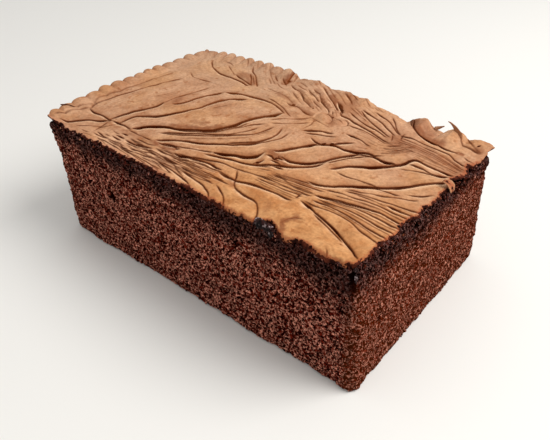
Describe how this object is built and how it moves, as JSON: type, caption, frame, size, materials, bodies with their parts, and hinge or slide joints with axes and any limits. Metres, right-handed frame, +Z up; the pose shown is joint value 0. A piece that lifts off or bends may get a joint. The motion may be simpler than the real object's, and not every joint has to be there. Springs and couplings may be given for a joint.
{
  "type": "chiffon loaf cake",
  "caption": "Uncut chocolate chiffon cake baked as a loaf, with upright crumb sides, a domed wrinkled tan crust, a crimped rim and lifted flakes.",
  "frame": {"origin": "under the middle of the loaf, on the surface that it stands on", "axes": "+X along the loaf from its crimped end to its plain end, -Y out of its plain long side, +Z up"},
  "size_m": [0.2279, 0.1379, 0.0852],
  "materials": {
    "cake": "matte"
  },
  "bodies": {
    "root": {"loaf": "cake"}
  },
  "joints": []
}
